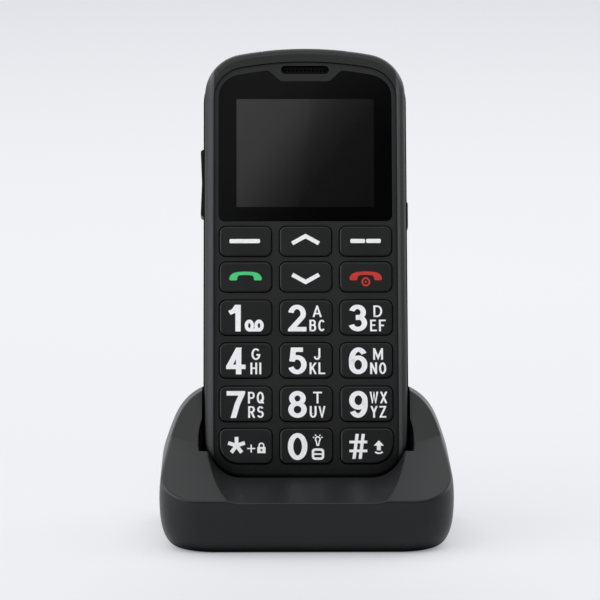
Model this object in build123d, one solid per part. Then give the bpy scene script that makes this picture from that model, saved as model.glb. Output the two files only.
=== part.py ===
from build123d import *
from math import cos, radians, sin, sqrt, tan
import os

# Big-button feature phone standing in its charging cradle, in millimetres.
# Phone pieces are drawn upright: x to the right, y from the front face to the back, z along the phone
# from its bottom end. stand() then leans them back and sets them in the cradle.
# Cradle pieces are drawn in place: z = 0 is the surface that the cradle stands on.

# Stance of the phone in the cradle
lean = 22.0
dock_y = -13.5
dock_z = 15.6

# Phone outline and shells
phone_width = 52.0
phone_length = 115.0
phone_depth = 13.5
top_arc = 91.0
top_corner = 11.0
bottom_corner = 9.2
rail_width = 2.2
rail_round = 1.9
face_drop = 0.3
face_top_margin = 3.9
face_bottom_margin = 2.5
face_top_corner = 8.6
face_bottom_corner = 6.4
shell_wall = 1.6
face_plate = 1.2
parting = 5.6
lip = 0.6
lip_depth = 0.7
rear_overhang = 0.4
back_wall = 1.2
back_round = 3.4

# Display window and display
window_side = 1.45
window_bottom = 68.4
window_top = 109.1
window_corner = 1.5
window_top_corner = 6.0
window_thick = 0.8
window_proud = 0.05
window_gap = 0.12
window_rim = 2.6
notch_top_width = 20.0
notch_width = 13.0
notch_depth = 3.4
notch_round = 1.1
display_side = 4.55
display_height = 28.9
display_bottom = 72.1
module_border = 2.8
module_thick = 2.4
module_gap = 0.1

# Keys
keypad_side = 1.6
key_space = 2.1
big_key_height = 9.2
small_key_height = 7.9
key_corner = 1.7
outer_key_corner = 5.0
key_edge = 0.45
key_gap = 0.22
key_proud = 0.35
key_flange = 0.42
key_flange_thick = 0.5
key_seat_gap = 0.05
key_travel = 0.5
key_nib = 0.3
key_nib_width = 3.0
key_row_shares = (0.0385, 0.1342, 0.2335, 0.3315, 0.4306, 0.5130)
key_rows = (
    ("key_star", "key_0", "key_hash"),
    ("key_7", "key_8", "key_9"),
    ("key_4", "key_5", "key_6"),
    ("key_1", "key_2", "key_3"),
    ("key_call", "key_down", "key_end"),
    ("key_soft_left", "key_up", "key_soft_right"),
)
mat_thick = 0.6
mat_gap = 0.1
dome_width = 5.0
dome_height = 0.25
dome_sheet_thick = 0.12
board_thick = 1.0
board_gap = 0.08

# Sound, light and other small pieces of the phone
slot_length = 12.5
slot_height = 2.2
slot_z = 108.9
grille_gap = 0.1
grille_drop = 0.65
grille_hole = 0.6
grille_holes = 11
earpiece_size = (15.0, 2.4, 6.0)
speaker_size = (15.0, 2.8, 9.0)
speaker_z = 95.4
speaker_hole = 1.1
speaker_pitch = 2.3
speaker_columns = 6
speaker_rows = 3
motor_width = 10.0
motor_thick = 2.8
motor_side = 10.5
motor_z = 99.0
sos_z = 106.2
sos_width = 8.8
sos_proud = 0.4
sos_flange = 0.9
sos_flange_thick = 0.5
sos_stem = 3.0
sos_travel = 0.8
microphone_width = 4.0
microphone_thick = 1.4
microphone_side = 12.0
sound_hole = 1.0
insert_width = 22.0
insert_front = 0.9
insert_back = 9.2
insert_thick = 1.0
insert_gap = 0.2
insert_bed = 0.1
torch_width = 5.0
torch_y = 5.2
torch_height = 2.2
torch_dome = 0.3
led_size = (3.0, 2.6, 2.0)

# Side controls
rocker_z = 80.1
rocker_length = 18.0
rocker_depth = 3.6
rocker_y = 8.4
rocker_proud = 0.8
rocker_waist = 0.35
rocker_body = 2.2
pivot_width = 1.4
pivot_reach = 0.9
pivot_gap = 0.06
switch_z = 71.6
switch_length = 6.8
switch_depth = 2.8
switch_proud = 0.35
switch_travel = 3.0
switch_plate = 0.7
side_gap = 0.25

# Battery, cover and the sockets
cover_side = 4.5
cover_bottom = 34.0
cover_top = 88.0
cover_corner = 3.5
cover_thick = 1.1
cover_gap = 0.1
cover_notch = 6.0
cover_notch_depth = 0.7
cover_seat = 0.9
cover_seat_width = 1.2
battery_side = 4.5
battery_height = 50.0
battery_thick = 5.8
battery_round = 1.2
battery_bottom = 36.4
battery_gap = 0.15
bay_wall = 0.8
bay_floor = 0.55
screw_side = 1.7
screw_heights = (38.0, 84.2)
screw_head = 2.4
screw_head_thick = 0.8
screw_shank = 1.4
screw_length = 5.2
screw_slot = 0.4
screw_column = 1.7
screw_tab = 3.4
contact_block_size = (10.0, 2.9, 3.2)
blade_width = 1.2
sim_size = (15.6, 0.95, 22.0)
sim_z = 60.0
sim_wall = 0.25
usb_size = (7.6, 2.7, 5.4)
usb_wall = 0.35
usb_gap = 0.1
usb_standoff = 0.65
pad_x = 8.0
pad_size = (3.2, 2.4, 2.0)
pad_y = 7.6

# Cradle
cradle_side = 11.45
cradle_front = 30.0
cradle_back = 29.2
cradle_height = 38.2
cradle_corner = 10.0
cradle_foot = 0.15
cradle_wall = 2.2
front_wall_top = 13.5
ledge_angle = 28.0
ear_angle = 50.5
ear_inset = 0.7
ear_y = -10.4
ear_z = 23.4
ear_curve = 160.0
bend_round = 2.2
rim_round = 0.8
crease_round = 0.45
cavity_top = 20.0
ramp_angle = 12.5
ramp_step = 0.6
ramp_inset = 0.3
ramp_corner = 9.0
pocket_clearance = 0.35
relief = 1.0
relief_front = 0.8
relief_depth = 3.2
relief_low = 11.0
relief_curve = 15.7
# Height, width, front and back of the shell's sections, each as a share of the full size
section_shares = (
    (0.000, 0.887, 0.955, 0.955),
    (0.040, 0.940, 0.988, 0.985),
    (0.120, 0.978, 1.000, 1.000),
    (0.225, 0.996, 1.000, 0.980),
    (0.330, 1.000, 1.000, 0.935),
    (0.520, 0.978, 1.000, 0.820),
    (0.730, 0.908, 1.000, 0.668),
    (0.862, 0.833, 1.000, 0.570),
    (0.942, 0.738, 1.000, 0.510),
    (0.982, 0.628, 1.000, 0.478),
    (1.000, 0.480, 1.000, 0.462),
)
plate_thick = 1.6
plate_inset = 1.4
plate_gap = 0.2
mat_side = 2.8
mat_depth = 42.0
mat_recess = 0.3
mat_corner = 4.0
foot_screw_side = 10.45
foot_screw_front = -21.0
foot_screw_back = 20.0
foot_boss = 5.0
foot_screw_head = 4.4
foot_screw_shank = 2.2
foot_screw_length = 6.0
cradle_board_size = (30.0, 14.0, 1.2)
cradle_board_y = 18.0
cradle_board_z = 4.4
cradle_usb_recess = 1.2
cradle_usb_hood = (11.0, 7.0)
pin_width = 1.6
pin_collar = 2.4
pin_collar_thick = 0.7
pin_gap = 0.15
pin_rest_gap = 0.12
pin_travel = 0.6
pin_spring = 1.8
pin_block_lid = 0.5
pin_block_width = 22.0
pin_block_depth = 4.6

overrun = 5.0

# Widths that follow from the phone's width: what lies side by side across the face, the back and the cradle
face_width = phone_width - 2 * rail_width
window_width = face_width - 2 * window_side
display_width = window_width - 2 * display_side
key_width = (face_width - 2 * keypad_side - 2 * key_space) / 3
key_pitch = key_width + key_space
cover_width = phone_width - 2 * cover_side
battery_width = cover_width - 2 * battery_side
screw_x = cover_width / 2 - screw_side
motor_x = motor_side - phone_width / 2
microphone_x = phone_width / 2 - microphone_side
cradle_half = phone_width / 2 + cradle_side
ear_x = phone_width / 2 - ear_inset
ramp_half = phone_width / 2 - ramp_inset
foot_screw_x = cradle_half - foot_screw_side
mat_width = 2 * (foot_screw_x - foot_screw_head / 2 - mat_side)

os.makedirs("parts", exist_ok=True)


def slab(shape, near, far):
    """Solid from a sketch in x and z, between two depths behind the phone's front."""
    plane = Plane(origin=(0, far, 0), x_dir=(1, 0, 0), z_dir=(0, -1, 0))
    return extrude(plane * shape, far - near)


def block(low, high):
    """Box between two opposite corners."""
    size = [b - a for a, b in zip(low, high)]
    middle = [(a + b) / 2 for a, b in zip(low, high)]
    return Pos(*middle) * Box(*size)


def rod(radius, start, end):
    """Round bar from one point to another."""
    first, last = Vector(*start), Vector(*end)
    return extrude(Plane(origin=first, z_dir=last - first) * Circle(radius), (last - first).length)


def panel(half, bottom, top, corner):
    """Upright rectangle with rounded corners, centred across the phone."""
    return Pos(0, (bottom + top) / 2) * RectangleRounded(2 * half, top - bottom, corner)


def arched(half, bottom, top, low_corner, high_corner, arc):
    """Upright outline with rounded corners and a shallow arc for its top edge."""
    blank = Pos(0, (bottom + top) / 2) * Rectangle(2 * half, top - bottom)
    shape = blank & Pos(0, top - arc) * Circle(arc)
    shape = fillet(shape.vertices().sort_by(Axis.Y)[:2], low_corner)
    return fillet(shape.vertices().sort_by(Axis.Y)[-2:], high_corner)


def phone_outline(grow=0):
    """Outline of the phone's front shell, grown outwards by a margin."""
    return arched(
        phone_width / 2 + grow, -grow, phone_length + grow,
        bottom_corner + grow, top_corner + grow, top_arc + grow,
    )


def rear_outline():
    """Outline of the rear shell, a little proud of the front shell at the sides only."""
    return arched(
        phone_width / 2 + rear_overhang, 0, phone_length - rear_overhang,
        bottom_corner + rear_overhang, top_corner + 2 * rear_overhang, top_arc,
    )


def face_outline():
    """Outline of the flat face inside the raised rail."""
    return arched(
        phone_width / 2 - rail_width, face_bottom_margin, phone_length - face_top_margin,
        face_bottom_corner, face_top_corner, top_arc,
    )


def window_outline(grow=0):
    """Outline of the display window, notched at the top for the earpiece."""
    shape = arched(
        window_width / 2 + grow, window_bottom - grow, window_top + grow,
        window_corner + grow, window_top_corner + grow, top_arc,
    )
    top = notch_top_width / 2 - grow
    low = notch_width / 2 - grow
    floor = window_top - notch_depth + grow
    slope = (top - low) / (window_top - floor)
    above = window_top + overrun
    reach = top + slope * overrun
    notch = Polygon((-low, floor), (low, floor), (reach, above), (-reach, above), align=None)
    shape -= notch
    corners = [v for v in shape.vertices() if abs(v.X) < reach]
    return fillet(corners, notch_round)


def key_outline(name, grow=0):
    """Outline of one key in place; the two lower outer keys follow the phone's bottom corners."""
    row = [name in names for names in key_rows].index(True)
    column = key_rows[row].index(name)
    height = small_key_height if row > 3 else big_key_height
    place = Pos((column - 1) * key_pitch, key_row_shares[row] * phone_length + height / 2)
    shape = Rectangle(key_width + 2 * grow, height + 2 * grow)
    if row == 0 and column != 1:
        side = column - 1
        outer = [v for v in shape.vertices() if v.X * side > 0 and v.Y < 0]
        shape = fillet(outer, outer_key_corner + grow)
        sharp = [v for v in shape.vertices() if v.X * side < 0 or v.Y > height / 4]
        return place * fillet(sharp, key_corner + grow)
    return place * fillet(shape.vertices(), key_corner + grow)


def key_centres():
    """Centre of every key in x and z, by name."""
    centres = {}
    for row, names in enumerate(key_rows):
        height = small_key_height if row > 3 else big_key_height
        for column, name in enumerate(names):
            centres[name] = ((column - 1) * key_pitch, key_row_shares[row] * phone_length + height / 2)
    return centres


def cover_outline(grow=0):
    """Outline of the battery cover."""
    return panel(cover_width / 2 + grow, cover_bottom - grow, cover_top + grow, cover_corner + grow)


def battery_outline(grow=0):
    """Outline of the battery's bay."""
    bottom, top = battery_bottom - grow, battery_bottom + battery_height + grow
    return Pos(0, (bottom + top) / 2) * Rectangle(battery_width + 2 * grow, top - bottom)


# Depths behind the phone's front, from the face to the back
plate_back = face_drop + face_plate
window_front = face_drop - window_proud
window_seat = window_front + window_thick + board_gap
key_front = -key_proud + face_drop
flange_front = plate_back + key_seat_gap
flange_back = flange_front + key_flange_thick
mat_front = flange_back + key_nib + key_travel + mat_gap
board_front = plate_back + module_gap + module_thick + board_gap
board_back = board_front + board_thick
inner_back = phone_depth - back_wall
seat_front = inner_back - cover_seat
battery_back = inner_back - battery_gap
battery_front = battery_back - battery_thick
floor_front = battery_front - board_gap - bay_floor
usb_front = board_back + usb_standoff
screw_points = [(side * screw_x, height) for side in (-1, 1) for height in screw_heights]


def stand(piece):
    """Lean a phone piece back and set it in the cradle."""
    return Pos(0, dock_y, dock_z) * Rot(-lean, 0, 0) * piece


def phone_form():
    """Outer form of the phone with its rounded front rim."""
    form = slab(phone_outline(), 0, phone_depth)
    return fillet(form.faces().sort_by(Axis.Y)[0].edges(), rail_round)


def insert_bed_cut():
    """Recess in the top wall that takes the insert, with its end gaps."""
    half = insert_width / 2 + insert_gap
    low = (-half, insert_front - insert_gap, phone_length - top_corner)
    high = (half, insert_back + insert_gap, phone_length + overrun)
    under = slab(phone_outline(-insert_thick - insert_bed), -overrun, phone_depth + overrun)
    return block(low, high) - under


def torch_bore(radius):
    """Bore for the torch lens through the top wall."""
    low = phone_length - shell_wall - torch_height
    return rod(radius, (0, torch_y, low), (0, torch_y, phone_length + overrun))


def pad_cut(grow=0):
    """The two charging pads in the bottom wall."""
    width, depth, height = pad_size
    pads = [
        block(
            (side * pad_x - width / 2 - grow, pad_y - depth / 2 - grow, -grow),
            (side * pad_x + width / 2 + grow, pad_y + depth / 2 + grow, height + grow),
        )
        for side in (-1, 1)
    ]
    return pads[0] + pads[1]


def make_front_housing():
    """Front shell: rail, face plate with key and window openings, screw tabs and rim rebate."""
    shell = phone_form() & block(
        (-phone_width, -overrun, -overrun), (phone_width, parting, phone_length + overrun)
    )
    shell -= slab(face_outline(), -overrun, face_drop)
    shell -= slab(phone_outline(-shell_wall), plate_back, parting + overrun)
    rebate = phone_outline(lip + board_gap - shell_wall)
    shell -= slab(rebate, parting - lip_depth - board_gap, parting + overrun)
    shell -= slab(window_outline(window_gap), -overrun, window_seat)
    shell -= slab(
        panel(
            window_width / 2 - window_rim, display_bottom - module_border / 2,
            display_bottom + display_height + module_border / 2, window_corner,
        ),
        -overrun, plate_back + overrun,
    )
    for name in key_centres():
        shell -= slab(key_outline(name, key_gap), -overrun, plate_back + overrun)
    shell -= slab(Pos(0, slot_z) * SlotOverall(slot_length, slot_height), -overrun, plate_back + overrun)
    for x, z in screw_points:
        side = 1 if x > 0 else -1
        ends = sorted((x - side * screw_tab / 2, side * (phone_width / 2 - shell_wall + lip / 2)))
        tab = block((ends[0], board_front, z - screw_tab / 2), (ends[1], parting, z + screw_tab / 2))
        tab -= slab(rebate, parting - lip_depth - board_gap, parting) - slab(
            phone_outline(-shell_wall - board_gap), parting - lip_depth - board_gap, parting
        )
        shell += tab
        pilot = screw_shank / 2 + mat_gap / 4
        shell -= rod(pilot, (x, board_front - overrun / 5, z), (x, parting + overrun, z))
    shell -= insert_bed_cut()
    shell -= torch_bore(torch_width / 2 + insert_bed)
    return shell


def make_display_window():
    """Clear window over the display, with a soft front edge."""
    window = slab(window_outline(), window_front, window_front + window_thick)
    return window


def make_lcd_module():
    """Display module behind the window."""
    low = display_bottom - module_border
    high = display_bottom + display_height + module_border
    front = plate_back + module_gap
    outline = panel(display_width / 2 + module_border, low, high, window_corner)
    return slab(outline, front, front + module_thick)


def make_key(name):
    """One key: rounded cap, wider flange behind the face plate and a nib that presses the mat."""
    cap = slab(key_outline(name), key_front, flange_back)
    cap = fillet(cap.faces().sort_by(Axis.Y)[0].edges(), key_edge)
    flange = slab(key_outline(name, key_flange), flange_front, flange_back)
    x, z = key_centres()[name]
    nib = Pos(x, z) * Rectangle(key_nib_width, key_nib_width)
    return cap + flange + slab(nib, flange_back, flange_back + key_nib)


def keypad_area(margin):
    """Area under all the keys, inside the front shell."""
    keys_top = key_row_shares[5] * phone_length + small_key_height + key_flange
    inside = phone_outline(-shell_wall - margin)
    return inside & Pos(0, keys_top / 2) * Rectangle(phone_width, keys_top)


def make_keypad_mat():
    """Rubber sheet under the keys, with a small plunger over each dome."""
    back = mat_front + mat_thick
    sheet = slab(keypad_area(mat_gap * 3), mat_front, back)
    for x, z in key_centres().values():
        tip = board_front - dome_sheet_thick - dome_height
        sheet += rod(key_nib_width / 2, (x, back, z), (x, tip, z))
    return sheet


def make_dome_sheet():
    """Film with a snap dome under every key."""
    front = board_front - dome_sheet_thick
    sheet = slab(keypad_area(mat_gap * 6), front, board_front)
    for x, z in key_centres().values():
        dome = rod(dome_width / 2, (x, front, z), (x, front - dome_height, z))
        sheet += dome
    for x, z in screw_points:
        if z < window_bottom:
            reach = screw_tab / 2 + board_gap
            edge = phone_width / 2
            ends = sorted((x - reach if x > 0 else x + reach, edge if x > 0 else -edge))
            sheet -= block((ends[0], front - dome_height, z - reach), (ends[1], board_back, z + reach))
    return sheet


def make_main_circuit_board():
    """Main board with notches at the screw tabs, a shield can and the switch under the SOS button."""
    board = slab(phone_outline(-shell_wall - lip - mat_gap), board_front, board_back)
    reach = screw_tab / 2 + module_gap + mat_gap
    for x, z in screw_points:
        ends = sorted((x - reach if x > 0 else x + reach, phone_width if x > 0 else -phone_width))
        low = (ends[0], board_front - overrun, z - reach)
        board -= block(low, (ends[1], board_back + overrun, z + reach))
    width, depth, height = speaker_size
    board += block(
        (-width / 2, board_back, speaker_z - height / 2),
        (width / 2, board_back + depth / 2, speaker_z + height / 2),
    )
    stem_end = inner_back - board_gap - sos_flange_thick - sos_stem
    tip = stem_end - sos_travel - board_gap
    board += rod(sos_stem / 2, (0, board_back, sos_z), (0, tip, sos_z))
    return board


def make_earpiece():
    """Earpiece speaker behind the slot."""
    width, depth, height = earpiece_size
    front = plate_back + board_gap
    return slab(Pos(0, slot_z) * RectangleRounded(width, height, height / 3), front, front + depth)


def make_earpiece_grille():
    """Perforated bar that fills the earpiece slot a little below the face."""
    bar = SlotOverall(slot_length - 2 * grille_gap, slot_height - 2 * grille_gap)
    pitch = (slot_length - slot_height) / (grille_holes - 1)
    for index in range(grille_holes):
        x = (index - (grille_holes - 1) / 2) * pitch
        bar -= Pos(x, 0) * Circle(grille_hole / 2)
    return slab(Pos(0, slot_z) * bar, face_drop + grille_drop, plate_back)


def speaker_holes():
    """Pattern of sound holes over the loudspeaker."""
    pattern = Sketch()
    for row in range(speaker_rows):
        for column in range(speaker_columns):
            x = (column - (speaker_columns - 1) / 2) * speaker_pitch
            z = speaker_z + (row - (speaker_rows - 1) / 2) * speaker_pitch
            pattern += Pos(x, z) * Circle(speaker_hole / 2)
    return pattern


def cover_notch_cut():
    """Shallow fingernail hollow across the cover's lower edge."""
    return Pos(0, phone_depth + cover_notch - cover_notch_depth, cover_bottom) * Sphere(cover_notch)


def make_rear_housing():
    """Rear shell: lip, battery bay, cover seat, screw columns and openings."""
    shell = slab(rear_outline(), parting, phone_depth)
    shell = fillet(shell.faces().sort_by(Axis.Y)[-1].edges(), back_round)
    core = slab(phone_outline(-shell_wall), parting - overrun, inner_back)
    core = fillet(core.faces().sort_by(Axis.Y)[-1].edges(), back_round - shell_wall)
    shell -= core
    shell += slab(phone_outline(lip - shell_wall), parting - lip_depth, parting) - slab(
        phone_outline(-shell_wall), parting - lip_depth, parting
    )
    shell += slab(cover_outline(cover_seat_width), seat_front, inner_back) & core
    bay = slab(battery_outline(battery_gap + bay_wall), floor_front, seat_front)
    columns = [rod(screw_column, (x, parting, z), (x, seat_front, z)) for x, z in screw_points]
    shell += bay
    for column in columns:
        shell += column
    shell -= slab(battery_outline(battery_gap), floor_front + bay_floor, phone_depth + overrun)
    shell -= slab(cover_outline(cover_gap), inner_back, phone_depth + overrun)
    shell -= cover_notch_cut()
    head_seat = board_front + board_gap + screw_length
    for x, z in screw_points:
        shell -= rod(screw_shank / 2 + mat_gap, (x, parting - overrun, z), (x, head_seat, z))
        shell -= rod(screw_head / 2 + mat_gap, (x, head_seat, z), (x, phone_depth, z))
    sim_width, sim_depth, sim_height = sim_size
    window = Rectangle(sim_width + 2 * side_gap, sim_height + 2 * side_gap)
    shell -= slab(Pos(0, sim_z) * window, parting - overrun, battery_front)
    width, depth, height = contact_block_size
    shell -= block(
        (-width / 2 - side_gap, parting - overrun, battery_bottom - battery_gap - bay_wall - side_gap),
        (width / 2 + side_gap, board_back + depth + side_gap, battery_bottom - battery_gap),
    )
    shell -= slab(speaker_holes(), inner_back - overrun / 5, phone_depth + overrun)
    shell -= rod(sos_width / 2 + side_gap, (0, seat_front, sos_z), (0, phone_depth + overrun, sos_z))
    shell -= rocker_slot()
    shell -= switch_slot()
    shell -= pad_cut(mat_gap / 2)
    width, depth, height = usb_size
    shell -= block(
        (-width / 2 - usb_gap, usb_front - usb_gap, -overrun),
        (width / 2 + usb_gap, usb_front + depth + usb_gap, height),
    )
    hole_y = board_back + microphone_thick
    hole_end = (microphone_x, hole_y, shell_wall + sound_hole)
    shell -= rod(sound_hole / 2, (microphone_x, hole_y, -overrun), hole_end)
    shell -= insert_bed_cut()
    shell -= torch_bore(torch_width / 2 + insert_bed)
    return shell


def make_battery_cover():
    """Flat battery cover with its fingernail hollow."""
    cover = slab(cover_outline(), phone_depth - cover_thick, phone_depth)
    return cover - cover_notch_cut()


def make_battery():
    """Flat battery with rounded long edges and three contact pads at its lower end."""
    cell = slab(battery_outline(), battery_front, battery_back)
    cell = fillet(cell.edges().filter_by(Axis.Z), battery_round)
    for step in (-1, 0, 1):
        x = step * contact_block_size[0] / 3
        cell -= block(
            (x - blade_width, battery_front + battery_round, battery_bottom - overrun),
            (x + blade_width, battery_front + 2 * battery_round, battery_bottom + mat_gap),
        )
    return cell


def make_battery_contacts():
    """Contact block on the board with three blades that reach the battery."""
    width, depth, height = contact_block_size
    top = battery_bottom - battery_gap - bay_wall - board_gap
    body = block((-width / 2, board_back, top - height), (width / 2, board_back + depth, top))
    for step in (-1, 0, 1):
        x = step * width / 3
        body += block(
            (x - blade_width / 2, board_back + depth / 2, top),
            (x + blade_width / 2, board_back + depth * 2 / 3, battery_bottom - board_gap / 4),
        )
    return body


def make_sim_holder():
    """Sheet-metal card holder on the board, open towards the battery's upper end."""
    width, depth, height = sim_size
    body = Pos(0, sim_z) * Rectangle(width, height)
    holder = slab(body, board_back, board_back + depth)
    slot = Pos(0, sim_z + sim_wall) * Rectangle(width - 2 * sim_wall, height)
    holder -= slab(slot, board_back + sim_wall, board_back + depth - sim_wall)
    window = Pos(0, sim_z) * Rectangle(width / 2, height / 2)
    return holder - slab(window, board_back + depth - sim_wall, board_back + depth)


def screw(radius, head_radius, head_thick, length, slot):
    """Upright screw, head down at the origin and shank along +z, with a straight slot."""
    body = extrude(Circle(head_radius), head_thick) + extrude(Circle(radius), head_thick + length)
    return body - Pos(0, 0, head_thick / 4) * Box(3 * head_radius, slot, head_thick / 2)


def make_housing_screws():
    """Four screws from the battery bay's sides into the front shell's tabs."""
    head_seat = board_front + board_gap + screw_length
    group = []
    for x, z in screw_points:
        one = screw(screw_shank / 2, screw_head / 2, screw_head_thick, screw_length - board_gap, screw_slot)
        group.append(Pos(x, head_seat + screw_head_thick, z) * Rot(90, 0, 0) * one)
    return Compound(group)


def make_loudspeaker():
    """Loudspeaker against the back wall."""
    width, depth, height = speaker_size
    back = inner_back - board_gap
    return slab(Pos(0, speaker_z) * RectangleRounded(width, height, height / 4), back - depth, back)


def make_vibration_motor():
    """Coin motor on the board."""
    return rod(motor_width / 2, (motor_x, board_back, motor_z), (motor_x, board_back + motor_thick, motor_z))


def make_microphone():
    """Microphone capsule above its sound hole in the bottom wall."""
    low = shell_wall + mat_gap
    y = board_back + microphone_width / 2
    return rod(microphone_width / 2, (microphone_x, y, low), (microphone_x, y, low + microphone_thick))


def make_top_insert():
    """Insert in the top wall around the torch lens."""
    ring = phone_form() - slab(phone_outline(-insert_thick), -overrun, phone_depth + overrun)
    half = insert_width / 2
    insert = ring & block(
        (-half, insert_front, phone_length - top_corner), (half, insert_back, phone_length + overrun)
    )
    return insert - torch_bore(torch_width / 2 + insert_bed)


def make_torch_lens():
    """Clear plug with a domed end."""
    low = phone_length - torch_height
    plug = rod(torch_width / 2, (0, torch_y, low), (0, torch_y, phone_length))
    return fillet(plug.faces().sort_by(Axis.Z)[-1].edges(), torch_dome)


def make_torch_led():
    """Light source on the board below the torch lens."""
    width, depth, height = led_size
    top = phone_length - torch_height - board_gap
    return block((-width / 2, board_back, top - height), (width / 2, board_back + depth, top))


def usb_socket():
    """Small USB socket: metal shell with a tongue, mouth at z = 0 and depth along +z."""
    width, depth, height = usb_size
    body = block((-width / 2, 0, 0), (width / 2, depth, height))
    body = fillet(body.edges().filter_by(Axis.Z), usb_wall)
    inside = width / 2 - usb_wall
    body -= block((-inside, usb_wall, -overrun), (inside, depth - usb_wall, height - usb_wall))
    tongue_end = (width / 3, depth / 2 + usb_wall, height - usb_wall / 2)
    tongue = block((-width / 3, depth / 2, usb_wall), tongue_end)
    return body + tongue


def make_phone_usb_socket():
    """Charging socket in the phone's bottom end, on two feet."""
    width, depth, height = usb_size
    socket = Pos(0, usb_front, usb_wall) * usb_socket()
    for side in (-1, 1):
        x = side * (width / 2 - usb_wall)
        socket += block(
            (x - usb_wall, board_back, height / 2), (x + usb_wall, usb_front + usb_wall / 2, height)
        )
    return socket


def make_charging_contacts():
    """Two metal pads flush with the bottom end."""
    return pad_cut()


def make_sos_button():
    """Round button in the back: cap, flange and stem."""
    cap = rod(sos_width / 2, (0, inner_back - board_gap, sos_z), (0, phone_depth + sos_proud, sos_z))
    cap = fillet(cap.faces().sort_by(Axis.Y)[-1].edges(), sos_proud)
    flange_near = inner_back - board_gap - sos_flange_thick
    flange = rod(sos_width / 2 + sos_flange, (0, flange_near, sos_z), (0, inner_back - board_gap, sos_z))
    stem = rod(sos_stem / 2, (0, flange_near - sos_stem, sos_z), (0, flange_near, sos_z))
    return cap + flange + stem


rocker_outer = phone_width / 2 + rear_overhang + rocker_proud
pivot_x = -(phone_width / 2 - shell_wall) - pivot_width / 2 + pivot_gap


def rocker_slot():
    """Opening in the left wall with open bearings for the rocker's pivot."""
    half, deep = rocker_length / 2 + side_gap, rocker_depth / 2 + side_gap
    inner = phone_width / 2 - shell_wall - lip
    low = (-rocker_outer - overrun, rocker_y - deep, rocker_z - half)
    cut = block(low, (-inner, rocker_y + deep, rocker_z + half))
    reach = rocker_depth / 2 + pivot_reach + side_gap
    bearing = pivot_width / 2 + pivot_gap
    cut += rod(bearing, (pivot_x, rocker_y - reach, rocker_z), (pivot_x, rocker_y + reach, rocker_z))
    low = (pivot_x, rocker_y - reach, rocker_z - bearing)
    return cut + block(low, (-inner, rocker_y + reach, rocker_z + bearing))


def make_volume_rocker():
    """Two-way rocker with a waisted outer edge and a round pivot."""
    half = rocker_length / 2
    inner = rocker_outer - rocker_body
    profile = Polygon(
        (-rocker_outer, half), (-rocker_outer + rocker_waist, 0), (-rocker_outer, -half),
        (-inner, -half), (-inner, half), align=None,
    )
    outer_ends = [v for v in profile.vertices() if abs(v.Y) > half / 2 and v.X < -inner - rocker_body / 2]
    profile = fillet(outer_ends, rocker_proud)
    body = slab(Pos(0, rocker_z) * profile, rocker_y - rocker_depth / 2, rocker_y + rocker_depth / 2)
    reach = rocker_depth / 2 + pivot_reach
    ends = [(pivot_x, rocker_y + way * reach, rocker_z) for way in (-1, 1)]
    return body + rod(pivot_width / 2, *ends)


def switch_slot():
    """Opening in the right wall for the slide switch, long enough for its travel."""
    low = switch_z - switch_length / 2 - side_gap
    high = switch_z + switch_length / 2 + switch_travel + side_gap
    deep = switch_depth / 2 + side_gap
    inner = phone_width / 2 - shell_wall - lip
    return block((inner, rocker_y - deep, low), (phone_width, rocker_y + deep, high))


def make_side_switch():
    """Slide switch: ribbed nub and the plate that covers its slot from inside."""
    outer = phone_width / 2 + rear_overhang + switch_proud
    wall_inside = phone_width / 2 - shell_wall - board_gap
    half, deep = switch_length / 2, switch_depth / 2
    nub = block((wall_inside, rocker_y - deep, switch_z - half), (outer, rocker_y + deep, switch_z + half))
    nub = fillet(nub.faces().sort_by(Axis.X)[-1].edges(), switch_proud)
    cover = half + switch_travel + side_gap * 2
    plate = block(
        (wall_inside - switch_plate, rocker_y - deep - switch_plate, switch_z - cover),
        (wall_inside, rocker_y + deep + switch_plate, switch_z + cover),
    )
    return nub + plate


# Cradle


def lean_point(y, z):
    """World y and z of a point given by its depth and height in the upright phone."""
    turn = radians(lean)
    return dock_y + y * cos(turn) + z * sin(turn), dock_z - y * sin(turn) + z * cos(turn)


def cradle_loft(inset=0):
    """Soft outer form of the cradle through its level sections, shrunk by an inset."""
    sections = []
    for height, width, front, back in section_shares:
        z = cradle_foot + height * (cradle_height - cradle_foot - inset)
        half = cradle_half * width - inset
        near, far = inset - cradle_front * front, cradle_back * back - inset
        shape = RectangleRounded(2 * half, far - near, cradle_corner - inset)
        sections.append(Plane.XY.offset(z) * Pos(0, (near + far) / 2) * shape)
    return loft(sections)


def ledge_wedge(lower=0):
    """Everything below the sloping ledge on the cradle's front half."""
    slope = tan(radians(ledge_angle))
    start, end = -cradle_front - overrun, cradle_back + overrun
    drop = front_wall_top - lower / cos(radians(ledge_angle))
    profile = Polygon(
        (start, -overrun), (end, -overrun),
        (end, drop + slope * (cradle_front + end)), (start, drop - slope * overrun), align=None,
    )
    return extrude(Plane.YZ * profile, cradle_half + overrun, both=True)


def ear_cone():
    """Gently curved sloping form whose front makes the ear faces."""
    axis_y = ear_y + sqrt(ear_curve**2 - ear_x**2)
    spread = 1 / tan(radians(ear_angle))
    top = cradle_height + overrun
    low_radius = ear_curve + ear_z * spread
    high_radius = ear_curve - (top - ear_z) * spread
    return Pos(0, axis_y, top / 2) * Cone(low_radius, high_radius, top)


def pocket_outline(grow):
    """Outline of the phone's pocket, open at the top."""
    half = phone_width / 2 + rear_overhang + grow
    high = cradle_height * 2
    shape = Pos(0, (high - grow) / 2) * Rectangle(2 * half, high + grow)
    return fillet(shape.vertices().sort_by(Axis.Y)[:2], bottom_corner + rear_overhang + grow)


def pocket(grow=0):
    """Space for the phone, leaning as the phone does."""
    margin = pocket_clearance + grow
    return stand(slab(pocket_outline(margin), -relief_front - grow, phone_depth + margin))


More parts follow.
